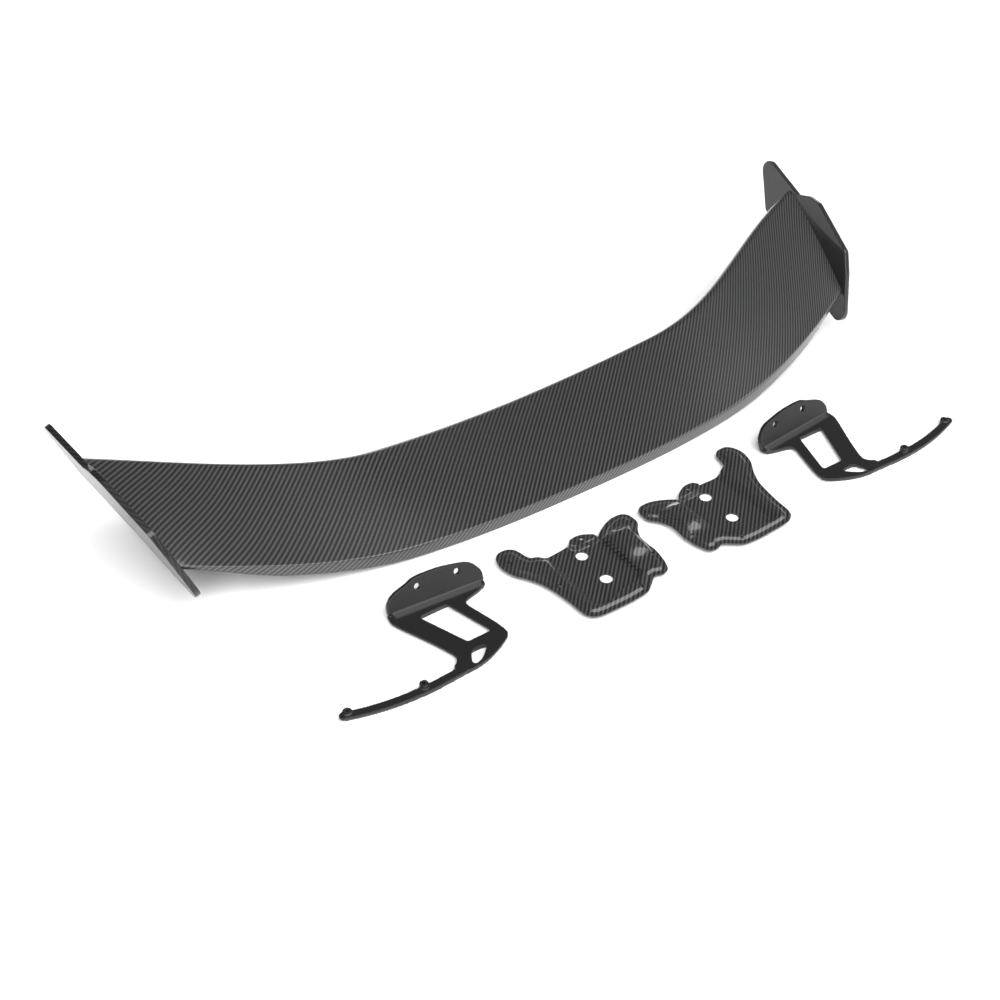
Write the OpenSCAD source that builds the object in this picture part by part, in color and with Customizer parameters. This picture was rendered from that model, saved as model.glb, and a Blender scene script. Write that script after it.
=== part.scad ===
// Racing rear wing kit, laid out on a flat surface.
// A swept carbon fibre blade between two canted end plates rests on its own belly.
// In front of it lie two cast uprights and two carbon base plates, left and right handed.
// X runs along the span, +Y towards the leading edge, +Z up. Millimetres.

/* [Blade] */
// Gap between the end plates' inner faces, measured at the floor under the rear tips
plate_gap = 1127; // [940:1:1400]
// Leading edge's distance from the datum line at mid span
nose_y = 113.5; // [90:0.5:150]
// How far the leading edge bows back towards the trailing edge
nose_bow = 126; // [0:1:160]
// How far the leading edge sweeps forward again towards the tips
nose_sweep = 245; // [0:1:280]
// Leading edge's height at mid span
nose_z = 37.5; // [30:0.5:60]
// How far the leading edge rises from mid span
nose_rise = 196; // [0:1:220]
// How much of that rise is taken back towards the tips
nose_drop = 91; // [0:1:100]
// Share of the half span at which the tip sweep starts
sweep_start = 0.4; // [0.3:0.01:0.6]
// Share of the half span over which the tip sweep builds up
sweep_length = 0.74; // [0.4:0.01:0.8]
// Trailing edge's distance behind the datum line at mid span
tail_y = 87; // [60:1:120]
// How far the trailing edge sweeps forward at the tips
tail_sweep = 107; // [0:1:130]
// How far the trailing edge's top bows up towards the tips
tail_bow = 17.6; // [0:0.2:24]
// How much further it rises over the outer half
tail_rise = 38.6; // [0:0.2:50]
// Height of the trailing edge's upright lip at mid span
lip_h = 19; // [10:0.5:30]
// Height of that lip at the tips
lip_tip_h = 5; // [5:0.5:12]
// Nose radius at mid span
nose_r = 21; // [12:0.5:24]
// Nose radius at the tips
nose_tip_r = 14; // [8:0.5:18]
// How far the top skin bulges over the straight line from nose to lip
camber = 2.5; // [0:0.5:6]
// Thickness of the carbon skins
skin_t = 1.8; // [1.2:0.1:3]

/* [Inside the blade] */
// Thickness of the spar web
web_t = 4; // [2:0.5:8]
// Thickness of each rib
rib_t = 5; // [3:0.5:10]
// Share of the half span at which the inner ribs stand
rib_in_s = 0.4; // [0.36:0.01:0.5]
// Share of the half span at which the outer ribs stand
rib_out_s = 0.7; // [0.6:0.01:0.8]
// Thickness of the end ribs that the end plates are bonded to
end_rib_t = 12; // [8:1:20]
// Distance of the upright seats from mid span
seat_x = 190; // [120:1:200]
// Thread hole diameter of the upright seats, M8
seat_bore_d = 6.8; // [5:0.1:10.2]
// Wall round each seat's thread
seat_wall = 5; // [3:0.5:8]
// Length of the seats
seat_l = 16; // [12:0.5:17]
// How far the seats stand out of the lower skin
seat_proud = 1.5; // [1:0.1:3]
// Glue line between bonded pieces
bond = 0.5; // [0.3:0.1:0.8]

/* [End plates] */
// Thickness of the end plates
plate_t = 9; // [5:0.5:12]
// Outward lean of the end plates
plate_cant = 18; // [0:0.1:25]
// Toe of the end plates
plate_toe = 5.3; // [0:0.1:12]
// Corner radius of the end plates
plate_r = 14; // [4:1:15]
// Diameter of the dowels that locate the bonded end plates
dowel_d = 6; // [4:0.5:6.5]
// Length of the dowels
dowel_l = 14; // [12:1:14]
// How deep the dowels stand in the end plates
dowel_in_plate = 5; // [3:0.5:6]
// Outer diameter of the dowel bushes in the end ribs
bush_d = 8; // [7.5:0.5:8.5]
// Length of the dowel bushes
bush_l = 8; // [6:0.5:9]

/* [Uprights] */
// Thickness of the upright's web and arm
upright_t = 7; // [5:0.5:12]
// Thickness of the upright's flange
flange_t = 8; // [5:0.5:10]
// Height of the flange, measured up its face from the crease
flange_h = 37; // [33:1:50]
// Backward lean of the flange
flange_lean = 24; // [0:1:30]
// Spacing of the two bolts between flange and blade
seat_pitch = 60; // [44:1:72]
// Clearance hole for those bolts, M8
flange_hole_d = 9; // [6.6:0.1:11]
// Height of the bolt holes' centres up the flange's face
flange_hole_h = 22.5; // [16:0.5:26]
// Length of the upright's arm beyond the strut
arm_l = 177; // [130:1:210]
// Width of the arm
arm_w = 13; // [10:0.5:18]
// Height of the lug on the arm
lug_h = 13; // [9:0.5:20]
// Diameter of the arm's lug and tip boss
boss_d = 12.5; // [10.5:0.5:15]
// Outer diameter of the thread inserts in the arm
arm_insert_d = 8; // [6:0.5:9]
// Thread hole in those inserts, M6
arm_bore_d = 5; // [4:0.1:5.1]

/* [Base plates] */
// Wall thickness of the pressed carbon base plates
shell_t = 2.5; // [1.5:0.1:3.5]
// Height of the rim round the recess
rim_h = 11; // [9:0.5:15]
// Height of the rim's outer edge
edge_h = 7.5; // [5:0.5:8.5]
// Height of the ridge beside the recess
ridge_h = 17; // [15:0.5:24]
// Diameter of the two large holes
big_hole_d = 18; // [12:0.5:24]
// Spacing of the two large holes
big_hole_pitch = 56; // [44:1:68]
// Diameter of the small screw holes
small_hole_d = 6; // [4:0.5:8]

/* [Layout] */
// Left upright's place on the floor
upright_left_at = [-236, -168];
// Right upright's place on the floor
upright_right_at = [267.5, -164.5];
// Right upright's turn
upright_right_turn = 0.8; // [-5:0.1:5]
// Left base plate's place on the floor
base_left_at = [-91.7, -199];
// Right base plate's place on the floor
base_right_at = [131.5, -197.5];
// Right base plate's turn
base_right_turn = 2.7; // [-5:0.1:5]

/* [Hidden] */

// Middle of the whole kit's footprint, which becomes the origin
centre_y = -13;
// Stations from tip to tip, and points along the top, the underside and the nose arc
stations = 32;
top_n = 7;
under_n = 5;
nose_n = 5;
// Direction from the nose's centre to its outermost point as seen from behind and above
nose_dir = [0.6, 0.8];
// Share of the nose arc, from below, at which the two skins meet
split = 0.45;
// Blade ends and ribs stand this far off the plate and the skins
fit_gap = 0.3;
carbon = "#26282a";
carbon_dark = "#1c1d1f";
alloy = "#9a9da0";
cast_black = "#1d1e20";
steel = "#6b6e72";

// ---------- blade geometry, as functions of the share s of the half span ----------
function smooth(t) = let (u = max(0, min(1, t))) u * u * (3 - 2 * u);
function polar(r, a) = r * [cos(a), sin(a)];
function bearing(v) = let (a = atan2(v.y, v.x)) a < 0 ? a + 360 : a;
function mix(a, b, t) = a + (b - a) * t;
function tip_ramp(s) = smooth((abs(s) - sweep_start) / sweep_length);
function nose_edge(s) = [
    nose_y - nose_bow * s * s + nose_sweep * tip_ramp(s),
    nose_z + nose_rise * s * s - nose_drop * tip_ramp(s)
];
function radius(s) = mix(nose_r, nose_tip_r, abs(s));
function nose_mid(s) = nose_edge(s) - radius(s) * nose_dir;
function lip(s) = [
    -tail_y + tail_sweep * pow(abs(s), 2.76),
    lip_h + tail_bow * s * s + tail_rise * smooth((abs(s) - 0.48) / 0.61)
];
function foot(s) = lip(s) - [0, mix(lip_h, lip_tip_h, smooth((abs(s) - 0.78) / 0.24))];

// Points of the section at s, set in by `in` from the outer surface, with c from nose to tail
function lip_in(s, in) = lip(s) + [in, -in];
function foot_in(s, in) = foot(s) + [in, in];
function top_turn(s, in) =
    let (v = lip_in(s, in) - nose_mid(s)) bearing(v) - acos((radius(s) - in) / norm(v));
function under_turn(s, in) =
    let (v = foot_in(s, in) - nose_mid(s)) bearing(v) + acos((radius(s) - in) / norm(v));
function nose_at(s, f, in) =
    nose_mid(s) + polar(radius(s) - in, mix(under_turn(s, in) - 360, top_turn(s, in), f));
function top_at(s, c, in) =
    mix(nose_at(s, 1, in), lip_in(s, in), c) + polar(camber * sin(180 * c), top_turn(s, in));
function under_at(s, c, in) = mix(nose_at(s, 0, in), foot_in(s, in), c);

// Half span of the blade where a point p = [y, z] of its end section meets the plate
function reach(p) = plate_gap / 2 - fit_gap + tan(plate_toe) * p.x + tan(plate_cant) / cos(plate_toe) * p.y;

// Closed section loops: [y, z] lists that depend only on s
function upper_loop(s) = concat(
    [for (i = [0:nose_n - 1]) nose_at(s, mix(split, 1, i / nose_n), 0)],
    [for (i = [0:top_n]) top_at(s, i / top_n, 0)],
    [foot(s), foot(s) + [skin_t, 0]],
    [for (i = [top_n:-1:0]) top_at(s, i / top_n, skin_t)],
    [for (i = [nose_n - 1:-1:0]) nose_at(s, mix(split, 1, i / nose_n), skin_t)]
);
function lower_loop(s) = let (c_end = 1 - 0.012) concat(
    [for (i = [under_n:-1:0]) under_at(s, c_end * i / under_n, 0)],
    [for (i = [1:nose_n]) nose_at(s, (split - 0.002) * i / nose_n, 0)],
    [for (i = [nose_n:-1:1]) nose_at(s, (split - 0.002) * i / nose_n, skin_t)],
    [for (i = [0:under_n]) under_at(s, c_end * i / under_n, skin_t)]
);
function block_loop(s, c0, c1) = let (in = skin_t + bond, n = 3) concat(
    [for (i = [0:n]) top_at(s, mix(c0, c1, i / n), in)],
    [for (i = [n:-1:0]) under_at(s, mix(c0, c1, i / n), in)]
);

// Skin a list of loops into a closed solid; ends holds the tip section's loop. The first half of each
// loop runs along one side of the wall and the second half comes back along the other.
module loft(spans, loops, ends) {
    m = len(ends);
    n = len(spans);
    points = [for (j = [0:n - 1]) for (k = [0:m - 1])
        [spans[j] * reach(ends[k]), loops[j][k].x - centre_y, loops[j][k].y]];
    sides = [for (j = [0:n - 2]) for (k = [0:m - 1]) let (a = j * m + k, b = j * m + (k + 1) % m)
        each [[a, a + m, b + m], [a, b + m, b]]];
    strips = [for (k = [0:m / 2 - 2]) each [[k, k + 1, m - 2 - k], [k, m - 2 - k, m - 1 - k]]];
    far_strips = [for (t = strips) [for (k = [2:-1:0]) (n - 1) * m + t[k]]];
    polyhedron(points = points, faces = concat(sides, strips, far_strips), convexity = 8);
}

function full_span() = [for (j = [-stations:stations]) j / stations];

// Place of the plane in which an end plate lies: X out of the plate, Y along it, Z up it
module plate_frame(side) {
    scale_x = side < 0 ? 1 : 0;
    mirror([scale_x, 0, 0])
        translate([plate_gap / 2, -centre_y, 0])
            rotate([0, 0, -plate_toe])
                rotate([0, plate_cant, 0])
                    children();
}

// ---------- blade ----------
// Share of the half span at which the seats' middle stands, and the underside's slope there
seat_s = seat_x / reach(under_at(1, 0.5, 0));
seat_slope = under_at(seat_s, 0, 0) - under_at(seat_s, 1, 0);
seat_tilt = atan2(seat_slope.y, seat_slope.x);
seat_z = under_at(seat_s, 1, 0).y - under_at(seat_s, 1, 0).x * tan(seat_tilt);
// Share of the chord at which the spar web stands, midway between the two seats of a side
web_c = under_at(seat_s, 0, 0).x / seat_slope.x;

// Two places square to the underside, with Z up into the blade
module seat_places(side) {
    translate([side * seat_x, -centre_y, seat_z])
        rotate([seat_tilt, 0, 0])
            for (y = [-seat_pitch / 2, seat_pitch / 2])
                translate([0, y, -seat_proud])
                    children();
}

module blade_upper_skin() {
    color(carbon)
        loft(full_span(), [for (s = full_span()) upper_loop(s)], upper_loop(1));
}

module blade_lower_skin() {
    color(carbon)
        difference() {
            loft(full_span(), [for (s = full_span()) lower_loop(s)], lower_loop(1));
            for (side = [-1, 1])
                seat_places(side)
                    translate([0, 0, -5])
                        cylinder(d = seat_bore_d + 2 * seat_wall + 2 * fit_gap, h = seat_l, $fn = 48);
        }
}

module spar_web() {
    half = web_t / 2 / (nose_y + tail_y);
    spans = [for (j = [1 - stations:stations - 1]) j / stations];
    color(carbon_dark)
        loft(spans, [for (s = spans) block_loop(s, web_c - half, web_c + half)],
            block_loop(1, web_c - half, web_c + half));
}

// A rib is a slab between two stations, parted where the spar web passes through it
module rib(s, thickness) {
    half = thickness / plate_gap;
    gap = (web_t / 2 + fit_gap) / (nose_y + tail_y);
    spans = [s - half, s + half];
    for (c = [[0.02, web_c - gap], [web_c + gap, 0.93]])
        loft(spans, [for (q = spans) block_loop(q, c[0], c[1])], block_loop(1, c[0], c[1]));
}

module rib_inner_left() color(carbon_dark) rib(-rib_in_s, rib_t);
module rib_inner_right() color(carbon_dark) rib(rib_in_s, rib_t);
module rib_outer_left() color(carbon_dark) rib(-rib_out_s, rib_t);
module rib_outer_right() color(carbon_dark) rib(rib_out_s, rib_t);

// The end ribs fill the blade's mouth behind the end plates and hold the dowels' bushes
module end_rib(side) {
    half = end_rib_t / plate_gap;
    difference() {
        loft([side * (1 - half) - half, side * (1 - half) + half],
            [for (q = [-half, half]) block_loop(side * (1 - half) + q, 0.02, 0.93)],
            block_loop(1, 0.02, 0.93));
        plate_frame(side)
            for (p = dowel_places())
                translate([-1 - bush_l - bond, p.x, p.y])
                    rotate([0, 90, 0])
                        cylinder(d = bush_d + 2 * bond, h = bush_l + 5, $fn = 40);
    }
}

module end_rib_left() color(carbon_dark) end_rib(-1);
module end_rib_right() color(carbon_dark) end_rib(1);

// Threaded seats for the uprights' bolts, open at the underside
module mount_insert(side) {
    seat_places(side)
        difference() {
            cylinder(d = seat_bore_d + 2 * seat_wall, h = seat_l, $fn = 48);
            translate([0, 0, -1])
                cylinder(d = seat_bore_d, h = seat_l + 2, $fn = 48);
        }
}

module mount_insert_left() color(alloy) mount_insert(-1);
module mount_insert_right() color(alloy) mount_insert(1);

// ---------- end plates ----------
// Outline in the plate's plane, [along, up], from the front foot round over the top
plate_outline = [
    [249, 106], [312, 191], [193, 163], [168, 172], [141, 172], [48, 133], [28, 104], [-14, 22],
    [40, 34], [125, 72], [200, 96]
];

// Dowels sit at these shares of the blade's chord. They rise inwards, since they are square to the
// canted plate, so they start a little below the middle of the blade's thickness.
dowel_shares = [0.1, 0.27, 0.44];
dowel_drop = 1.5;
function chord_point(c) = (top_at(1, c, 0) + under_at(1, c, 0)) / 2 - [0, dowel_drop];
// The same point in the plate's own plane
function in_plate(p) =
    [p.x / cos(plate_toe) + tan(plate_cant) * tan(plate_toe) * p.y, p.y / cos(plate_cant)];
function dowel_places() = [for (c = dowel_shares) in_plate(chord_point(c))];

module endplate(side) {
    plate_frame(side)
        difference() {
            rotate([90, 0, 90])
                linear_extrude(plate_t)
                    offset(plate_r, $fn = 48)
                        offset(-plate_r)
                            polygon(plate_outline);
            for (p = dowel_places())
                translate([-1, p.x, p.y])
                    rotate([0, 90, 0])
                        cylinder(d = dowel_d + 0.1, h = 1 + dowel_in_plate + fit_gap, $fn = 40);
        }
}

module endplate_left() color(carbon) endplate(-1);
module endplate_right() color(carbon) endplate(1);

// Bushes bonded into the end ribs
module dowel_bushes(side) {
    plate_frame(side)
        for (p = dowel_places())
            translate([-1 - bush_l, p.x, p.y])
                rotate([0, 90, 0])
                    difference() {
                        cylinder(d = bush_d, h = bush_l, $fn = 40);
                        translate([0, 0, -1])
                            cylinder(d = dowel_d + 0.1, h = bush_l + 2, $fn = 40);
                    }
}

module dowel_bushes_left() color(alloy) dowel_bushes(-1);
module dowel_bushes_right() color(alloy) dowel_bushes(1);

// Plain steel pins between bush and plate
module dowels(side) {
    plate_frame(side)
        for (p = dowel_places())
            translate([dowel_in_plate, p.x, p.y])
                rotate([0, -90, 0])
                    cylinder(d = dowel_d, h = dowel_l, $fn = 40);
}

module dowels_left() color(steel) dowels(-1);
module dowels_right() color(steel) dowels(1);

// ---------- uprights ----------
// Every corner of a closed outline is cut, which rounds it
function cut_corners(p) = let (n = len(p))
    [for (i = [0:n - 1]) each [mix(p[i], p[(i + 1) % n], 0.2), mix(p[i], p[(i + 1) % n], 0.8)]];

// The inner end of the crease between web and flange is the origin, and the crease runs to here
crease_end = [142, 12];
crease_turn = atan2(crease_end.y, crease_end.x);
// The arm leaves the strut here and its middle line is an arc that lifts towards the tip
arm_root = [105, -123];
arm_lift = 16;
arm_sag = 4;
function arm_at(t) = arm_root + [arm_l * t, arm_lift * t * t * t - arm_sag * sin(180 * t)];
arm_steps = 12;
arm_end = arm_at(1);
// Thread bosses stand on the arm's inner side: one as a lug on its way, one near its end
boss_off = arm_w * 0.35;
lug_at = arm_at(0.38) + [0, boss_off];
tip_at = arm_at(0.965) + [0, boss_off];
tip_boss_h = upright_t + 2.5;
// Height of the undercut along the web's sides, and how deep it is
foot_h = 3;
foot_inset = 4;

strut_outline = [
    [-1, 8], [-1, -5], [8, -10], [38, -17], [44, -24], [36, -53], [28, -85], [28, -104],
    [52, -118], [78, -128], [112, -131], [124, -114], [113, -108], [109, -98], [119, -69],
    [130, -42], [142, -14], [147, 1], [144, 18], [100, 16]
];
window_outline = [[110, -10], [66, -10], [44, -85], [81, -85]];
window_r = 4;
slot_outline = [[87, -101], [62, -103], [82, -121], [94, -125], [98, -121]];
// Flange, [along the crease, up the flange]
flange_outline = [
    [-1, -6], [-1, 12], [10, 26], [22, 0.84 * flange_h], [60, flange_h], [98, flange_h - 1],
    [108, flange_h - 6], [134, 22], [144, 9], [144, -6]
];
flange_root_z = 12;
function flange_rows() = [65 - seat_pitch / 2, 65 + seat_pitch / 2];

module upright_plan() {
    difference() {
        union() {
            polygon(cut_corners(strut_outline));
            polygon(concat(
                [for (i = [0:arm_steps]) arm_at(i / arm_steps) + [0, arm_w / 2]],
                [for (i = [arm_steps:-1:0]) arm_at(i / arm_steps) - [0, arm_w / 2]]
            ));
            translate(arm_end)
                circle(d = arm_w, $fn = 48);
        }
        offset(window_r, $fn = 24)
            offset(delta = -window_r)
                polygon(window_outline);
        polygon(cut_corners(slot_outline));
    }
}

module upright() {
    difference() {
        union() {
            linear_extrude(foot_h)
                intersection() {
                    translate([-foot_inset, 0]) upright_plan();
                    translate([foot_inset, 0]) upright_plan();
                }
            translate([0, 0, foot_h])
                linear_extrude(upright_t - foot_h)
                    upright_plan();
            translate(tip_at)
                cylinder(d = boss_d, h = tip_boss_h, $fn = 48);
            translate(lug_at)
                cylinder(d = boss_d, h = lug_h, $fn = 48);
            upright_flange();
        }
        for (p = [lug_at, tip_at])
            translate([p.x, p.y, -1])
                cylinder(d = arm_insert_d + fit_gap, h = lug_h + 2, $fn = 40);
    }
}

// The flange stands up from the web along the crease, with a fillet in the corner
module upright_flange() {
    rotate([0, 0, crease_turn]) {
        translate([0, 0, flange_root_z])
            rotate([90 - flange_lean, 0, 0])
                translate([0, 0, -flange_t])
                    difference() {
                        linear_extrude(flange_t)
                            polygon(cut_corners(flange_outline));
                        for (x = flange_rows())
                            translate([x, flange_hole_h, -1])
                                cylinder(d = flange_hole_d, h = flange_t + 2, $fn = 48);
                    }
        translate([4, 0, 0])
            rotate([90, 0, 90])
                linear_extrude(134)
                    polygon([
                        [4, foot_h], [5, flange_root_z + 3], [1, flange_root_z],
                        [-10, upright_t - 0.2], [-10, foot_h]
                    ]);
    }
}

// Steel thread inserts in the arm's lug and in its tip
module upright_inserts() {
    for (p = [[lug_at.x, lug_at.y, lug_h], [tip_at.x, tip_at.y, tip_boss_h]])
        translate([p.x, p.y, fit_gap])
            difference() {
                cylinder(d = arm_insert_d, h = p.z - 2 * fit_gap, $fn = 40);
                translate([0, 0, -1])
                    cylinder(d = arm_bore_d, h = p.z + 2, $fn = 40);
            }
}

module loose(at, turn, side) {
    translate([at.x, at.y - centre_y, 0])
        rotate([0, 0, turn])
            mirror([side < 0 ? 1 : 0, 0, 0])
                children();
}

module upright_left() color(cast_black) loose(upright_left_at, 0, -1) upright();
module upright_right() color(cast_black) loose(upright_right_at, upright_right_turn, 1) upright();
module upright_inserts_left() color(steel) loose(upright_left_at, 0, -1) upright_inserts();
module upright_inserts_right() color(steel) loose(upright_right_at, upright_right_turn, 1) upright_inserts();

// ---------- base plates ----------
// Outline round the first large hole, [outwards, towards the blade]
base_outline = [
    [111, 40], [106, 58], [97, 66], [82, 66], [72, 58], [67, 33], [56, 29], [48, 23],
    [7, 26], [0, 29], [-10, 31], [-21, 29], [-34, 21], [-40, 16], [-50, 24], [-64, 32],
    [-78, 37], [-95, 37], [-104, 29], [-105, 8], [-94, -4], [-88, -17], [-87, -32], [-89, -52],
    [-85, -76], [-79, -93], [-66, -97], [-54, -92], [-38, -106], [-28, -113], [0, -116],
    [54, -115], [67, -107], [71, -94], [72, -74], [76, -46], [81, -24], [91, -3], [105, 16]
];
// Recess that carries the two large holes, open towards the blade
recess_outline = [
    [50, 45], [50, -24], [49, -88], [45, -98], [32, -101], [14, -95], [-2, -90], [-30, -87],
    [-40, -83], [-44, -74], [-41, 12], [-36, 45]
];
boss_outline = [[8, 22], [0, 29], [-10, 31], [-21, 29], [-34, 20], [-39, 13], [-30, 11], [1, 12]];
// Section of the ridge beside the recess, [outwards, up]
ridge_section = [
    [-88, edge_h], [-84, 11.5], [-76, ridge_h - 2], [-62, ridge_h], [-50, ridge_h - 4], [-45, 10]
];
ridge_ends = [-50, 6];
small_holes = [[97, 37], [66, -38], [-25, -101], [-15, 22], [-95, 14], [-79, -57]];
// The rim's margin, which lies one step lower than the rest
margin = 10;

module base_plan() polygon(cut_corners(base_outline));
module recess_plan() polygon(cut_corners(recess_outline));

module base_plate() {
    difference() {
        union() {
            difference() {
                union() {
                    linear_extrude(edge_h)
                        base_plan();
                    linear_extrude(rim_h)
                        offset(delta = -margin) base_plan();
                }
                translate([0, 0, shell_t])
                    linear_extrude(rim_h)
                        recess_plan();
                underside(edge_h - shell_t)
                    offset(delta = margin) base_plan();
                underside(rim_h - shell_t)
                    offset(delta = -margin - shell_t) base_plan();
            }
            translate([0, 0, 1])
                linear_extrude(rim_h - 1)
                    polygon(boss_outline);
            ridge_block(0, edge_h - shell_t + 0.5);
        }
        ridge_block(shell_t, -10);
        for (y = [0, -big_hole_pitch])
            translate([0, y, -1])
                cylinder(d = big_hole_d, h = ridge_h, $fn = 64);
        for (p = small_holes)
            translate([p.x, p.y, -1])
                cylinder(d = small_hole_d, h = ridge_h + 10, $fn = 32);
    }
}

// Hollow under the shell up to the height `top`, which leaves a wall round the recess
module underside(top) {
    translate([0, 0, -1])
        linear_extrude(top + 1)
            difference() {
                children();
                offset(delta = shell_t) recess_plan();
            }
}

// The ridge, set in by `in` all round and reaching down to the height `low`
module ridge_block(in, low) {
    translate([0, ridge_ends[1] - in, 0])
        rotate([90, 0, 0])
            linear_extrude(ridge_ends[1] - ridge_ends[0] - 2 * in)
                offset(delta = -in)
                    polygon(concat(
                        [[ridge_section[0].x, low]], ridge_section, [[ridge_section[5].x, low]]
                    ));
}

module base_plate_left() color(carbon) loose(base_left_at, 0, -1) base_plate();
module base_plate_right() color(carbon) loose(base_right_at, base_right_turn, 1) base_plate();

blade_upper_skin();
blade_lower_skin();
spar_web();
rib_inner_left();
rib_inner_right();
rib_outer_left();
rib_outer_right();
end_rib_left();
end_rib_right();
mount_insert_left();
mount_insert_right();
endplate_left();
endplate_right();
dowel_bushes_left();
dowel_bushes_right();
dowels_left();
dowels_right();
upright_left();
upright_right();
upright_inserts_left();
upright_inserts_right();
base_plate_left();
base_plate_right();
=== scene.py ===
"""Looks of a racing rear wing kit: a carbon fibre blade with two canted end plates, and in front of it
two cast uprights and two pressed carbon base plates. Metres, +Z up, blade's leading edge towards +Y."""
import math

import bpy
import numpy as np
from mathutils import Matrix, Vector


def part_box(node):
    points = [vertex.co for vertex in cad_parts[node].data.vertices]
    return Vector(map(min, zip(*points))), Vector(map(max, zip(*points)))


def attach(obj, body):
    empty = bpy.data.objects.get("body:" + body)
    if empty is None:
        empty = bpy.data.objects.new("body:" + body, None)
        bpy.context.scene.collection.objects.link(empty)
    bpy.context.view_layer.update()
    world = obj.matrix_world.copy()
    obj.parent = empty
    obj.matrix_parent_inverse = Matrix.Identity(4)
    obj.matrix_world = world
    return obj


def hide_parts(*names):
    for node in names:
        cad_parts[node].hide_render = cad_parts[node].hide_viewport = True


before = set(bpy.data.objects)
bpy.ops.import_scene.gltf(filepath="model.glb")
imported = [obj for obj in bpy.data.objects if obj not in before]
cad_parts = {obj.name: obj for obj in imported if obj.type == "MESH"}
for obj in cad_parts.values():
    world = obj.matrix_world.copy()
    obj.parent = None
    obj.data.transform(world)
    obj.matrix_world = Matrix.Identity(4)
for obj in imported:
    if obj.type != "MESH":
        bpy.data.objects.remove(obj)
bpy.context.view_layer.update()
scene = bpy.context.scene

camera = bpy.data.objects.new("camera", bpy.data.cameras.new("camera"))
scene.collection.objects.link(camera)
camera.location = (-1.1860, -1.5828, 1.5847)
camera.rotation_euler = Vector((0.4334, 0.6329, -0.6416)).to_track_quat("-Z", "Y").to_euler()
camera.data.lens = 61.6
camera.data.sensor_width = 36
scene.camera = camera
scene.view_settings.view_transform = "Standard"

# ---------- Studio ----------
# A white sweep whose wall ends a little above the horizon, under a dim ceiling, so that level faces
# mirror the dim part and faces that turn away mirror the white one. A softbox high on the camera's side
# draws a bright line along rounded edges, and two very wide lamps, which nothing mirrors, add even light.
WALL_TOP, WALL_FADE = 0.17, 0.05
CEILING = 0.12
SOFTBOX_BACK, SOFTBOX_LOW, SOFTBOX = -0.10, 0.45, 3.2


def add(tree, kind, values=(), wires=(), **settings):
    """Adds one node: `values` fills its input sockets and `wires` joins other nodes' outputs to them.
    An all-capitals kind is the operation of a math node."""
    made = tree.nodes.new("ShaderNodeMath" if kind.isupper() else kind)
    if kind.isupper():
        made.operation = kind
    for name, value in settings.items():
        setattr(made, name, value)
    for socket, value in dict(values).items():
        made.inputs[socket].default_value = value
    for socket, source in dict(wires).items():
        tree.links.new(source, made.inputs[socket])
    return made


world = bpy.data.worlds.new("studio")
scene.world = world
world.use_nodes = True
sky = world.node_tree
direction = add(sky, "ShaderNodeTexCoord").outputs["Generated"]
axes = add(sky, "ShaderNodeSeparateXYZ", wires={0: direction})
wall = add(sky, "ShaderNodeMapRange", {1: WALL_TOP - WALL_FADE, 2: WALL_TOP + WALL_FADE, 3: 1.0, 4: CEILING},
           {0: axes.outputs["Z"]}, interpolation_type="SMOOTHSTEP").outputs[0]
in_front = add(sky, "ShaderNodeMapRange", {1: SOFTBOX_BACK, 2: SOFTBOX_BACK - WALL_FADE, 3: 0.0, 4: SOFTBOX},
               {0: axes.outputs["Y"]}, interpolation_type="SMOOTHSTEP").outputs[0]
high = add(sky, "ShaderNodeMapRange", {1: SOFTBOX_LOW, 2: SOFTBOX_LOW + WALL_FADE},
           {0: axes.outputs["Z"]}, interpolation_type="SMOOTHSTEP").outputs[0]
all_round = add(sky, "MULTIPLY_ADD", wires={0: in_front, 1: high, 2: wall}).outputs[0]
sky.links.new(all_round, sky.nodes["Background"].inputs["Color"])


def wide_lamp(name, comes_from, spread, strength):
    """An even light from a direction, as from a softbox that fills `spread` degrees of the view."""
    lamp = bpy.data.lights.new(name, "SUN")
    lamp.angle, lamp.energy = math.radians(spread), strength
    holder = bpy.data.objects.new(name, lamp)
    holder.visible_glossy = False
    scene.collection.objects.link(holder)
    holder.rotation_euler = Vector(comes_from).to_track_quat("Z", "Y").to_euler()


wide_lamp("front_lamp", (-0.35, -0.75, 1.0), 70, 1.5)
wide_lamp("side_lamp", (0.9, -0.1, 0.9), 60, 0.6)


def linear(hex_colour):
    """An sRGB hex colour as the linear RGBA that Blender's sockets take."""
    parts = [int(hex_colour[i:i + 2], 16) / 255 for i in (1, 3, 5)]
    return [c / 12.92 if c <= 0.04045 else ((c + 0.055) / 1.055) ** 2.4 for c in parts] + [1.0]


floor_paint = bpy.data.materials.new("matt_white_paint")
floor_paint.use_nodes = True
floor_shader = floor_paint.node_tree.nodes["Principled BSDF"]
floor_shader.inputs["Base Color"].default_value = linear("#f7f7f7")
floor_shader.inputs["Roughness"].default_value = 0.9
floor_shader.inputs["Specular IOR Level"].default_value = 0.1
floor_mesh = bpy.data.meshes.new("floor")
floor_mesh.from_pydata([(-9, -9, 0), (9, -9, 0), (9, 9, 0), (-9, 9, 0)], [], [(0, 1, 2, 3)])
floor = bpy.data.objects.new("floor", floor_mesh)
floor_mesh.materials.append(floor_paint)
scene.collection.objects.link(floor)

# ---------- Carbon cloth ----------
# Prepreg 2x2 twill under a thick clear coat. Each tow passes over two tows and under two, one step
# on in each row, which makes diagonal ribs. The tows' sheen is painted into their colour: tows that
# run across are painted dull, the others painted grey as if catching the sheen, and each tow is
# painted darker where it dips under the next, as painted shade.
TOW, TOWS_IN_REPEAT = 0.00196, 4.0
TOW_PAINTED_SHEEN, TOW_PAINTED_SHADE = "#525253", "#141415"
FIBRE_STREAKS = 7


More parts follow.
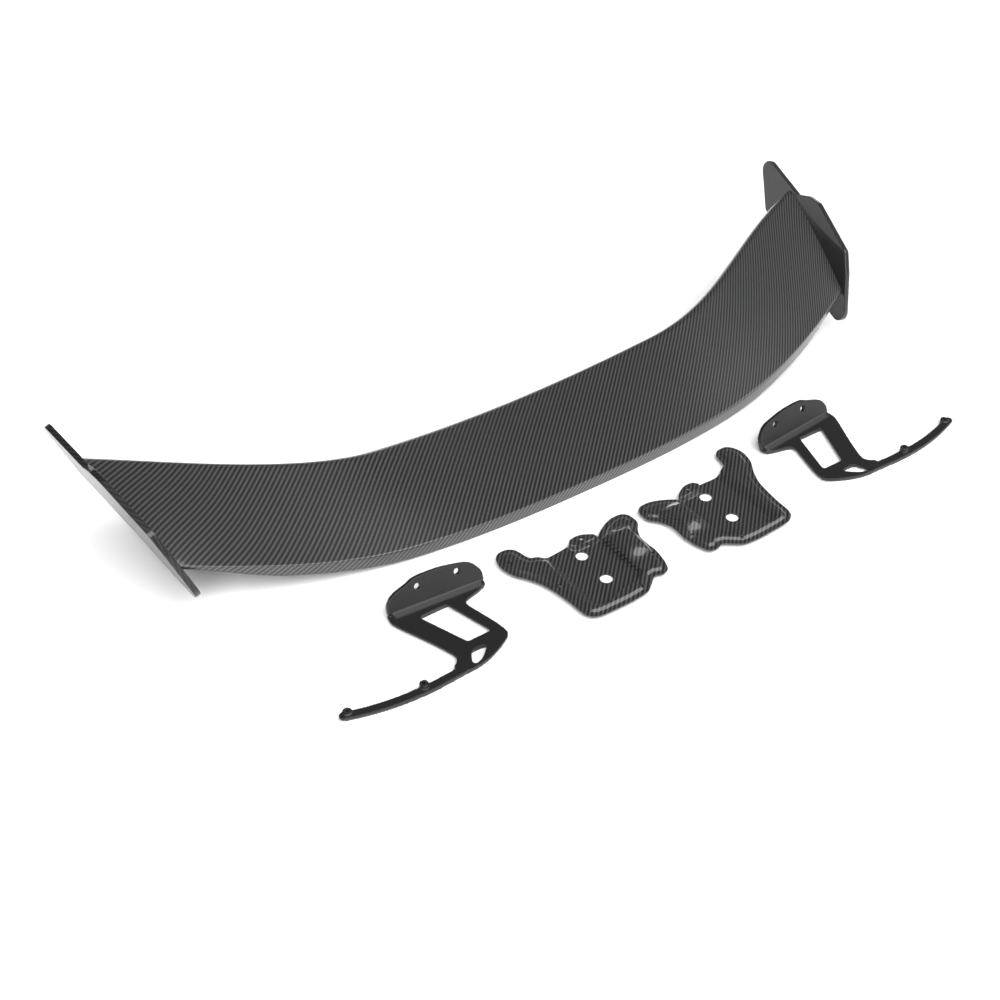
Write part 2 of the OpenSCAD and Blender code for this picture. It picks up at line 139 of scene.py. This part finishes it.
def gloss_twill(name, source, painted_sheen=TOW_PAINTED_SHEEN, painted_shade=TOW_PAINTED_SHADE, coat=1.0):
    """Gloss carbon twill. `source` is "UV", or "Object" with the cloth laid in the plane of X and Y."""
    material = bpy.data.materials.new(name)
    material.use_nodes = True
    tree = material.node_tree
    shader = tree.nodes["Principled BSDF"]

    place = add(tree, "ShaderNodeTexCoord").outputs[source]
    laid = add(tree, "ShaderNodeMapping", {"Scale": (1 / TOW,) * 3}, {"Vector": place}).outputs[0]
    axes = add(tree, "ShaderNodeSeparateXYZ", wires={0: laid})
    across, along = axes.outputs[0], axes.outputs[1]
    column = add(tree, "FLOOR", wires={0: across}).outputs[0]
    row = add(tree, "FLOOR", wires={0: along}).outputs[0]
    step = add(tree, "SUBTRACT", wires={0: column, 1: row}).outputs[0]
    step = add(tree, "FLOORED_MODULO", {1: TOWS_IN_REPEAT}, {0: step}).outputs[0]
    warp_on_top = add(tree, "LESS_THAN", {1: 1.5}, {0: step}).outputs[0]
    # A tow's back is a half round across it, and it dips where it dives under at both ends. The warp's
    # pattern starts one tow before its column, and the weft's two tows after its row.
    heights = []
    for over, run, own, other in ((across, along, column, -1.0), (along, across, row, 2.0)):
        back = add(tree, "FRACT", wires={0: over}).outputs[0]
        back = add(tree, "MULTIPLY", {1: math.pi}, {0: back}).outputs[0]
        back = add(tree, "SINE", wires={0: back}).outputs[0]
        dive = add(tree, "SUBTRACT", wires={0: run, 1: own}).outputs[0]
        dive = add(tree, "SUBTRACT", {1: other}, {0: dive}).outputs[0]
        dive = add(tree, "FLOORED_MODULO", {1: TOWS_IN_REPEAT}, {0: dive}).outputs[0]
        dive = add(tree, "MULTIPLY", {1: 2 * math.pi / TOWS_IN_REPEAT}, {0: dive}).outputs[0]
        dive = add(tree, "SINE", wires={0: dive}).outputs[0]
        arch = add(tree, "MULTIPLY_ADD", {1: 0.5, 2: 0.5}, {0: dive}).outputs[0]
        heights.append(add(tree, "MULTIPLY", wires={0: back, 1: arch}).outputs[0])
    relief = add(tree, "ShaderNodeMix", wires={0: warp_on_top, 2: heights[1], 3: heights[0]}).outputs[0]
    # Single fibres are too fine to show, so bundles a seventh of a tow wide streak each one
    streaks = []
    for scale in ((FIBRE_STREAKS, 0.5, 1), (0.5, FIBRE_STREAKS, 1)):
        drawn = add(tree, "ShaderNodeMapping", {"Scale": scale}, {"Vector": laid}).outputs[0]
        streak = add(tree, "ShaderNodeTexNoise", {"Scale": 1.0, "Detail": 1.0}, {"Vector": drawn})
        streaks.append(streak.outputs[0])
    fibres = add(tree, "ShaderNodeMix", wires={0: warp_on_top, 2: streaks[1], 3: streaks[0]}).outputs[0]
    # Painted shade: the colour darkens to a quarter of itself at the bottom of a dip, where a tow dives
    # under the next.
    dip_painted_shade = add(tree, "MULTIPLY_ADD", {1: 0.75, 2: 0.25}, {0: relief}).outputs[0]
    streaked = add(tree, "MULTIPLY_ADD", {1: 0.7, 2: 0.65}, {0: fibres}).outputs[0]
    shade = add(tree, "MULTIPLY", wires={0: dip_painted_shade, 1: streaked}).outputs[0]
    # Painted sheen: the tows that run along take the lighter colour and those that run across take the
    # darker one, in place of the sheen that each catches.
    cloth = add(tree, "ShaderNodeMix", {6: linear(painted_shade), 7: linear(painted_sheen)}, {0: warp_on_top}, data_type="RGBA")
    shaded = add(tree, "ShaderNodeMix", {0: 1.0}, {6: cloth.outputs[2], 7: shade}, data_type="RGBA",
                 blend_type="MULTIPLY")
    bump = add(tree, "ShaderNodeBump", {"Strength": 0.35, "Distance": 0.0002}, {"Height": relief})
    tree.links.new(shaded.outputs[2], shader.inputs["Base Color"])
    tree.links.new(bump.outputs[0], shader.inputs["Normal"])
    shader.inputs["Roughness"].default_value = 0.42
    shader.inputs["Specular IOR Level"].default_value = 0.35
    shader.inputs["Coat Weight"].default_value = coat
    shader.inputs["Coat Roughness"].default_value = 0.025
    shader.inputs["Coat IOR"].default_value = 1.5
    return material


carbon_cloth = gloss_twill("gloss_twill_carbon", "UV")

# ---------- Blade ----------
# Two moulded carbon skins that meet along the nose and behind the lip. Every section of the blade
# depends on its share of the half span: a round nose, a slightly bulged top, and an upright lip.
CENTRE_Y = -0.013
GAP, CANT, TOE = 1.127, math.radians(18), math.radians(5.3)
FIT_GAP, SKIN = 0.0003, 0.0018
NOSE_DIR = np.array([0.6, 0.8])
SPLIT = 0.45
CAMBER = 0.0025
EDGE_R = 0.0016
CLOTH_TURN = 0.4


def smooth(t):
    """Rises from 0 to 1 over 0 to 1 with flat ends: 3t squared minus 2t cubed."""
    t = np.clip(t, 0, 1)
    return t * t * (3 - 2 * t)


def mix(a, b, t):
    return a + (b - a) * t


def tip_ramp(s):
    return smooth((abs(s) - 0.4) / 0.74)


def nose_edge(s):
    """Outermost point of the nose: a parabola in y and z, plus a smooth forward sweep at the tips."""
    forward = 0.1135 - 0.126 * s ** 2 + 0.245 * tip_ramp(s)
    return np.stack([forward, 0.0375 + 0.196 * s ** 2 - 0.091 * tip_ramp(s)], -1)


def nose_radius(s):
    return mix(0.021, 0.014, abs(s))[..., None]


def nose_mid(s):
    return nose_edge(s) - nose_radius(s) * NOSE_DIR


def lip(s):
    """Top of the trailing edge, which sweeps forward with a power of s and rises over the outer half."""
    rise = 0.019 + 0.0176 * s ** 2 + 0.0386 * smooth((abs(s) - 0.48) / 0.61)
    return np.stack([-0.087 + 0.107 * abs(s) ** 2.76, rise], -1)


def foot(s):
    """Foot of the trailing edge, a lip's height under its top."""
    height = mix(0.019, 0.005, smooth((abs(s) - 0.78) / 0.24))
    return lip(s) - np.stack([0 * height, height], -1)


def tangent_turns(s, inset):
    """Bearings at which straight lines from lip and foot touch the nose circle: the line to the
    circle's middle, turned by the angle whose cosine is radius over distance."""
    r = nose_radius(s)[..., 0] - inset
    up = lip(s) + [inset, -inset] - nose_mid(s)
    down = foot(s) + [inset, inset] - nose_mid(s)
    full = 2 * math.pi
    top = np.arctan2(up[..., 1], up[..., 0]) % full - np.arccos(r / np.linalg.norm(up, axis=-1))
    under = np.arctan2(down[..., 1], down[..., 0]) % full + np.arccos(r / np.linalg.norm(down, axis=-1))
    return top, under


def nose_at(s, f, inset=0.0):
    """Point of the nose arc at the share f from its lower to its upper end."""
    top, under = tangent_turns(s, inset)
    turn = mix(under - 2 * math.pi, top, f)
    return nose_mid(s) + (nose_radius(s) - inset) * np.stack([np.cos(turn), np.sin(turn)], -1)


def top_at(s, c, inset=0.0):
    """Point of the top at the share c of the chord: a straight line plus half a sine wave of camber."""
    turn = tangent_turns(s, inset)[0]
    bulge = CAMBER * np.sin(math.pi * c) * np.stack([np.cos(turn), np.sin(turn)], -1)
    return mix(nose_at(s, 1.0, inset), lip(s) + [inset, -inset], c) + bulge


def under_at(s, c, inset=0.0):
    return mix(nose_at(s, 0.0, inset), foot(s) + [inset, inset], c)


def round_corner(before, corner, after, steps):
    """A corner as a quadratic curve that leaves both sides at the edge radius."""
    reach_a = EDGE_R * (before - corner) / np.linalg.norm(before - corner, axis=-1, keepdims=True)
    reach_b = EDGE_R * (after - corner) / np.linalg.norm(after - corner, axis=-1, keepdims=True)
    return [corner + (1 - t) ** 2 * reach_a + t ** 2 * reach_b for t in np.linspace(0, 1, steps)]


def half_span(points):
    """How far out a point of the end section meets the end plate's canted and toed plane."""
    lean = math.tan(CANT) / math.cos(TOE)
    return GAP / 2 - FIT_GAP + math.tan(TOE) * points[..., 0] + lean * points[..., 1]


def upper_outside(s):
    nose = [nose_at(s, f) for f in np.linspace(SPLIT, 1, 15)[:-1]]
    top = [top_at(s, c) for c in np.linspace(0, 0.985, 26)]
    return nose + top + round_corner(top_at(s, 0.97), lip(s), foot(s), 5) + [
        mix(lip(s), foot(s), t) for t in (0.5, 0.999)]


def upper_inside(s):
    count = len(upper_outside(s))
    nose = [nose_at(s, f, SKIN) for f in np.linspace(SPLIT, 1, 15)[:-1]]
    top = [top_at(s, c, SKIN) for c in np.linspace(0, 1, count - 15)]
    return nose + top + [foot(s) + [SKIN, 0.0]]


def lower_outside(s):
    under = [under_at(s, c) for c in np.linspace(0.988, 0, 16)]
    return under + [nose_at(s, f) for f in np.linspace(0, SPLIT - 0.002, 12)[1:]]


def lower_inside(s):
    under = [under_at(s, c, SKIN) for c in np.linspace(0.988, 0, 16)]
    return under + [nose_at(s, f, SKIN) for f in np.linspace(0, SPLIT - 0.002, 12)[1:]]


def mesh_piece(name, vertices, faces, materials, uv, kind=None, crease=40):
    """A new object from vertices, lists of faces and one UV pair for each face corner. `kind` gives
    each face its material's number; a face of a negative kind is shaded flat."""
    mesh = bpy.data.meshes.new(name)
    mesh.from_pydata(np.asarray(vertices).tolist(), [], [list(face) for face in faces])
    mesh.uv_layers.new(name="cloth").data.foreach_set("uv", np.asarray(uv, np.float32).ravel())
    kind = np.zeros(len(faces), int) if kind is None else np.asarray(kind)
    mesh.polygons.foreach_set("use_smooth", kind >= 0)
    mesh.polygons.foreach_set("material_index", np.where(kind < 0, -kind - 1, kind).astype(np.int32))
    mesh.set_sharp_from_angle(angle=math.radians(crease))
    for material in materials:
        mesh.materials.append(material)
    mesh.update()
    piece = bpy.data.objects.new(name, mesh)
    scene.collection.objects.link(piece)
    return piece


def place_piece(piece, body, cad_node):
    """The piece moves with the body and stands for the CAD node, which it hides."""
    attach(piece, body)
    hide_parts(cad_node)


def blade_skin(name, outside, inside):
    """A skin as a closed loop of points carried along the span, its two ends capped as ladders. The
    cloth was laid along the swept trailing edge and turns with a share of its sweep."""
    s = np.linspace(-1, 1, 193)
    loop = outside(s) + inside(s)[::-1]
    ends = outside(np.ones(1)) + inside(np.ones(1))[::-1]
    section = np.stack(loop, 1)
    span = s[:, None] * half_span(np.stack(ends, 1))
    points = np.concatenate([span[..., None], section - [CENTRE_Y, 0]], -1)
    m, n, half = len(loop), len(s), len(loop) // 2
    a = (np.arange(n - 1)[:, None] * m + np.arange(m)).ravel()
    b = (np.arange(n - 1)[:, None] * m + (np.arange(m) + 1) % m).ravel()
    sides = np.stack([a, a + m, b + m, b], 1)
    k = np.arange(half - 1)
    cap = np.stack([k, k + 1, m - 2 - k, m - 1 - k], 1)
    chord = np.linalg.norm(np.diff(section[:, :half], axis=1), axis=-1)
    run = np.concatenate([np.zeros((n, 1)), np.cumsum(chord, 1)], 1)
    away = run[:, -1:] - run if outside is upper_outside else run
    away = np.concatenate([away, away[:, ::-1]], 1)
    edge = points[:, half - 1 if outside is upper_outside else 0]
    along = np.concatenate([[0], np.cumsum(np.linalg.norm(np.diff(edge, axis=0), axis=1))])[:, None]
    sweep = CLOTH_TURN * np.arctan(np.gradient(edge[:, 1], edge[:, 0]))[:, None]
    uv = np.stack([along + away * np.sin(sweep), away * np.cos(sweep)], -1)
    faces = np.concatenate([sides, cap, cap[:, ::-1] + (n - 1) * m])
    return mesh_piece(name, points.reshape(-1, 3), faces.tolist(), [carbon_cloth], uv.reshape(-1, 2)[faces])


place_piece(blade_skin("upper_skin", upper_outside, upper_inside), "wing", "blade_upper_skin")
place_piece(blade_skin("lower_skin", lower_outside, lower_inside), "wing", "blade_lower_skin")

# ---------- End plates ----------
# Flat twill laminates, 9 mm thick, cut to shape and bonded to the blade's ends. They lean outwards
# and toe in. Their faces are coated and carry only a faint painted sheen and shade of the tows, so
# the weave hardly shows there; their edges carry a strong one.
PLATE_T, PLATE_R, PLATE_EDGE = 0.009, 0.014, 0.0011
PLATE_OUTLINE = np.array([
    (249, 106), (312, 191), (193, 163), (168, 172), (141, 172), (48, 133), (28, 104), (-14, 22),
    (40, 34), (125, 72), (200, 96)]) / 1000


def rounded_outline(corners, radius, hollow_radius, steps):
    """A closed outline with each corner made an arc that touches both sides. Its middle lies on the
    corner's bisector, a radius over the sine of half the corner's angle away."""
    before, after = np.roll(corners, 1, 0) - corners, np.roll(corners, -1, 0) - corners
    before = before / np.linalg.norm(before, axis=1, keepdims=True)
    after = after / np.linalg.norm(after, axis=1, keepdims=True)
    outward = after[:, 0] * before[:, 1] - after[:, 1] * before[:, 0] > 0
    r = np.where(outward, radius, hollow_radius)[:, None]
    half = np.arccos(np.clip((before * after).sum(1), -1, 1))[:, None] / 2
    bisector = (before + after) / np.linalg.norm(before + after, axis=1, keepdims=True)
    middle = corners + bisector * r / np.sin(half)
    first = corners + before * r / np.tan(half) - middle
    last = corners + after * r / np.tan(half) - middle
    start = np.arctan2(first[:, 1], first[:, 0])
    sweep = (np.arctan2(last[:, 1], last[:, 0]) - start + math.pi) % (2 * math.pi) - math.pi
    turn = start[:, None] + sweep[:, None] * np.linspace(0, 1, steps)
    return (middle[:, None] + r[:, None] * np.stack([np.cos(turn), np.sin(turn)], -1)).reshape(-1, 2)


def plate_to_kit(points, side):
    """Points (out, along, up) of a plate's own frame, canted about Y, toed about Z, moved to its place."""
    out, along, up = np.moveaxis(points, -1, 0)
    x = math.cos(CANT) * out + math.sin(CANT) * up
    z = -math.sin(CANT) * out + math.cos(CANT) * up
    kit_x = math.cos(TOE) * x + math.sin(TOE) * along + GAP / 2
    kit_y = -math.sin(TOE) * x + math.cos(TOE) * along - CENTRE_Y
    return np.stack([side * kit_x, kit_y, z], -1)


def end_plate(name, side):
    """The outline's rings run from the inner face round two quarter-circle edges to the outer face."""
    outline = rounded_outline(PLATE_OUTLINE, PLATE_R, 0.002, 13)
    tangent = np.roll(outline, -1, 0) - np.roll(outline, 1, 0)
    normal = np.stack([tangent[:, 1], -tangent[:, 0]], 1) / np.linalg.norm(tangent, axis=1, keepdims=True)
    turn = np.linspace(0, math.pi / 2, 5)
    inset = PLATE_EDGE * np.concatenate([1 - np.sin(turn), (1 - np.sin(turn))[::-1]])
    depth = PLATE_EDGE * (1 - np.cos(turn))
    depth = np.concatenate([depth, PLATE_T - depth[::-1]])
    flat = outline - inset[:, None, None] * normal
    rings = np.concatenate([np.broadcast_to(depth[:, None, None], flat.shape[:2] + (1,)), flat], -1)
    run = np.concatenate([[0], np.cumsum(np.hypot(np.diff(depth), np.diff(inset)))])
    cloth = flat[:1] + run[:, None, None] * normal
    n, m = rings.shape[:2]
    a = (np.arange(n - 1)[:, None] * m + np.arange(m)).ravel()
    b = (np.arange(n - 1)[:, None] * m + (np.arange(m) + 1) % m).ravel()
    sides = np.stack([a, b, b + m, a + m], 1)[:, ::-side]
    inner, outer = np.arange(m)[::-side], (np.arange(m) + (n - 1) * m)[::side]
    uv = np.concatenate([cloth.reshape(-1, 2)[sides].reshape(-1, 2), flat.reshape(-1, 2)[inner],
                         flat.reshape(-1, 2)[outer]])
    kind = [1] * len(sides) + [-1, -1]
    faces = sides.tolist() + [inner.tolist(), outer.tolist()]
    vertices = plate_to_kit(rings, side).reshape(-1, 3)
    return mesh_piece(name, vertices, faces, [plate_cloth, edge_cloth], uv, kind)


# The painted sheen and shade of the tows: faint on the faces, strong on the edges.
plate_cloth = gloss_twill("gloss_twill_end_plate_face", "UV", painted_sheen="#2c2c2d", painted_shade="#222223", coat=0.6)
edge_cloth = gloss_twill("gloss_twill_end_plate_edge", "UV", painted_sheen="#2a2a2b", painted_shade="#0c0c0d")
for name, side in (("left", -1), ("right", 1)):
    place_piece(end_plate("end_plate_" + name, side), "wing", "endplate_" + name)

# ---------- Uprights ----------
# Aluminium castings with every edge and corner rounded by the mould, powder coated satin black. The
# mesh is a copy of the design's solid, cast anew in 1 mm cells and then smoothed.
CAST_CELL, CAST_ROUNDING = 0.0010, 7


def cast_copy(name, cad_node, material):
    """A copy of a design node with its doubles merged, rebuilt as an even skin and smoothed."""
    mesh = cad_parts[cad_node].data.copy()
    mesh.name = name
    piece = bpy.data.objects.new(name, mesh)
    scene.collection.objects.link(piece)
    weld = piece.modifiers.new("weld", "WELD")
    weld.merge_threshold = 1e-5
    skin = piece.modifiers.new("skin", "REMESH")
    skin.mode, skin.voxel_size, skin.use_smooth_shade = "VOXEL", CAST_CELL, True
    soft = piece.modifiers.new("soft", "SMOOTH")
    soft.factor, soft.iterations = 0.5, CAST_ROUNDING
    bpy.context.view_layer.update()
    made = bpy.data.meshes.new_from_object(piece.evaluated_get(bpy.context.evaluated_depsgraph_get()))
    piece.modifiers.clear()
    piece.data = made
    made.name = name
    made.materials.clear()
    made.materials.append(material)
    return piece


def grained(name, colour, roughness, metallic, grain, depth, spread):
    """A coated or machined surface: one colour, and a fine noise of `grain` metres in bump and gloss."""
    material = bpy.data.materials.new(name)
    material.use_nodes = True
    tree = material.node_tree
    shader = tree.nodes["Principled BSDF"]
    place = add(tree, "ShaderNodeTexCoord").outputs["Object"]
    noise = add(tree, "ShaderNodeTexNoise", {"Scale": 1 / grain, "Detail": 2.0, "Roughness": 0.55},
                {"Vector": place})
    blotch = add(tree, "ShaderNodeTexNoise", {"Scale": 22.0, "Detail": 2.0}, {"Vector": place})
    bump = add(tree, "ShaderNodeBump", {"Strength": 0.5, "Distance": depth}, {"Height": noise.outputs[0]})
    gloss = add(tree, "ShaderNodeMapRange", {3: roughness - spread, 4: roughness + spread},
                {0: noise.outputs[0]})
    darker = [0.8 * part for part in linear(colour)[:3]] + [1.0]
    tint = add(tree, "ShaderNodeMix", {6: darker, 7: linear(colour)}, {0: blotch.outputs[0]},
               data_type="RGBA")
    tree.links.new(tint.outputs[2], shader.inputs["Base Color"])
    tree.links.new(gloss.outputs[0], shader.inputs["Roughness"])
    tree.links.new(bump.outputs[0], shader.inputs["Normal"])
    shader.inputs["Metallic"].default_value = metallic
    return material


powder_coat = grained("satin_black_powder_coat", "#1c1c1d", 0.40, 0.0, 0.0006, 0.00003, 0.05)
for cad_node in ("upright_left", "upright_right"):
    place_piece(cast_copy("cast_" + cad_node, cad_node, powder_coat), cad_node, cad_node)

# ---------- Base plates ----------
# Gloss twill pressings, 2.5 mm thick, that fit over the boot lid's fixing points. Each is one sheet:
# a recess with two large holes, a rim round it, a ridge beside it, a boss and three lugs.
SHEET, RIM, EDGE = 0.0025, 0.011, 0.0075
BASE_OUTLINE = np.array([
    (111, 40), (106, 58), (97, 66), (82, 66), (72, 58), (67, 33), (56, 29), (48, 23),
    (7, 26), (0, 29), (-10, 31), (-21, 29), (-34, 21), (-40, 16), (-50, 24), (-64, 32),
    (-78, 37), (-95, 37), (-104, 29), (-105, 8), (-94, -4), (-88, -17), (-87, -32), (-89, -52),
    (-85, -76), (-79, -93), (-66, -97), (-54, -92), (-38, -106), (-28, -113), (0, -116),
    (54, -115), (67, -107), (71, -94), (72, -74), (76, -46), (81, -24), (91, -3), (105, 16)]) / 1000
RECESS = np.array([
    (50, 45), (50, -24), (49, -88), (45, -98), (32, -101), (14, -95), (-2, -90), (-30, -87),
    (-40, -83), (-44, -74), (-41, 12), (-36, 45)]) / 1000
BOSS = np.array([(8, 22), (0, 33), (-10, 36), (-21, 35), (-36, 24), (-39, 13), (-30, 11), (1, 12)]) / 1000
RIDGE_SECTION = np.array([
    (-93, 0), (-88, 0), (-84, 3.5), (-76, 8), (-62, 10), (-50, 7), (-45, 3), (-41, 0)]) / 1000
LARGE_HOLES = np.array([(0, 0), (0, -56)]) / 1000
SMALL_HOLES = np.array([(97, 37), (66, -38), (-25, -101), (-15, 22), (-95, 14), (-79, -57)]) / 1000
PITCH = 0.00125


def cut_corners(corners):
    """Each corner cut at a fifth of its sides, which keeps a fairly round outline."""
    after = np.roll(corners, -1, 0)
    return np.stack([mix(corners, after, 0.2), mix(corners, after, 0.8)], 1).reshape(-1, 2)


def beyond(points, outline):
    """Signed distance from each point to an outline, negative inside: the least distance to its sides,
    with the sign from how often a ray to the right crosses it."""
    a, b = outline, np.roll(outline, -1, 0)
    side, to = b - a, points[..., None, :] - a
    share = np.clip((to * side).sum(-1) / (side ** 2).sum(-1), 0, 1)
    near = np.linalg.norm(to - share[..., None] * side, axis=-1).min(-1)
    rises = (a[:, 1] > points[..., None, 1]) != (b[:, 1] > points[..., None, 1])
    level = np.where(side[:, 1] == 0, 1e-9, side[:, 1])
    cross = points[..., None, 0] < side[:, 0] * (points[..., None, 1] - a[:, 1]) / level + a[:, 0]
    return np.where((rises & cross).sum(-1) % 2 == 1, -near, near)


def sheet_edge(points):
    """Signed distance to the sheet's edge or a hole's edge, negative in the sheet."""
    edge = beyond(points, cut_corners(cut_corners(BASE_OUTLINE)))
    for holes, radius in ((LARGE_HOLES, 0.009), (SMALL_HOLES, 0.003)):
        away = np.linalg.norm(points[..., None, :] - holes, axis=-1).min(-1)
        edge = np.maximum(edge, radius - away)
    return edge


def sheet_height(points):
    """Height of the pressing's top: from its edge up to the rim, down into the recess by a ramp that is
    longer on the outer side, up again at the boss, and a ridge that fades out at both ends."""
    x, y = points[..., 0], points[..., 1]
    rim = mix(EDGE, RIM, smooth((-beyond(points, cut_corners(BASE_OUTLINE)) - 0.006) / 0.006))
    ramp = 0.004 + 0.012 * smooth((x - 0.02) / 0.03)
    recess = smooth((-beyond(points, RECESS) + ramp * 0.35) / ramp)
    height = mix(rim, SHEET, recess)
    height = mix(height, RIM, smooth((-beyond(points, BOSS) + 0.001) / 0.003))
    ridge = np.interp(x, RIDGE_SECTION[:, 0], RIDGE_SECTION[:, 1]) * smooth((y + 0.062) / 0.026)
    return height + ridge * smooth((0.016 - y) / 0.022)


def base_plate(name, cad_node, turn, side):
    """A square grid over the outline. Cells whose middles lie in the sheet are kept, and the grid
    points on their border move to the sheet's edge, along the slope of the distance."""
    x = np.arange(-0.109, 0.115, PITCH)
    y = np.arange(-0.120, 0.070, PITCH)
    flat = np.stack(np.meshgrid(x, y, indexing="ij"), -1)
    kept = sheet_edge(flat[:-1, :-1] + PITCH / 2) < 0
    corner = np.arange(flat.shape[0] * flat.shape[1]).reshape(flat.shape[:2])
    cells = np.stack([corner[:-1, :-1], corner[1:, :-1], corner[1:, 1:], corner[:-1, 1:]], -1)[kept]
    used = np.bincount(cells.ravel(), minlength=corner.size)
    points = flat.reshape(-1, 2)
    border = np.flatnonzero((used > 0) & (used < 4))
    for _ in range(3):
        here = points[border]
        gap, step = sheet_edge(here), 1e-5
        slope = np.stack([sheet_edge(here + [step, 0]) - gap, sheet_edge(here + [0, step]) - gap], -1) / step
        size = np.maximum((slope ** 2).sum(-1, keepdims=True), 0.2)
        points[border] = here - gap[:, None] * slope / size
    fresh = np.cumsum(used > 0) - 1
    points, cells = points[used > 0], fresh[cells]
    height = sheet_height(points)
    lo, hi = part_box(cad_node)
    placed = np.stack([side * points[:, 0], points[:, 1]], -1)
    spin = np.array([[math.cos(turn), math.sin(turn)], [-math.sin(turn), math.cos(turn)]])
    placed = placed @ spin
    placed += np.array([(lo[i] + hi[i]) / 2 - (placed[:, i].min() + placed[:, i].max()) / 2 for i in (0, 1)])
    if side < 0:
        cells = cells[:, ::-1]
    vertices = np.column_stack([placed, height])
    piece = mesh_piece(name, vertices, cells.tolist(), [carbon_cloth], placed[cells], crease=60)
    wall = piece.modifiers.new("sheet", "SOLIDIFY")
    wall.thickness, wall.offset = SHEET, -1
    round_off = piece.modifiers.new("edge", "BEVEL")
    round_off.width, round_off.segments, round_off.limit_method = 0.0005, 2, "ANGLE"
    round_off.angle_limit = math.radians(60)
    return piece


for name, turn, side in (("left", 0.0, -1), ("right", math.radians(2.7), 1)):
    cad_node = "base_plate_" + name
    place_piece(base_plate("pressed_" + cad_node, cad_node, turn, side), cad_node, cad_node)

# ---------- Inside the blade, and the small metal parts ----------
# Matt raw twill ribs and web, machined aluminium seats and bushes, and zinc plated steel inserts and
# dowels. The design's own solids have the right shape, so they only take their finish here.
# The raw twill's two colours are the painted sheen and shade of its tows.
raw_twill = gloss_twill("raw_twill_laminate", "Object", painted_sheen="#3a3a3c", painted_shade="#232325", coat=0.0)
machined = grained("machined_aluminium", "#b9bbbd", 0.33, 1.0, 0.0009, 0.00001, 0.08)
zinc_steel = grained("zinc_plated_steel", "#8d8f92", 0.38, 1.0, 0.0012, 0.00001, 0.08)
FINISHES = {
    "spar_web": raw_twill, "rib_": raw_twill, "end_rib": raw_twill, "mount_insert": machined,
    "dowel_bushes": machined, "dowels": zinc_steel, "upright_inserts": zinc_steel}
for node_name, cad_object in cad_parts.items():
    for start, finish in FINISHES.items():
        if node_name.startswith(start):
            cad_object.data.materials.clear()
            cad_object.data.materials.append(finish)
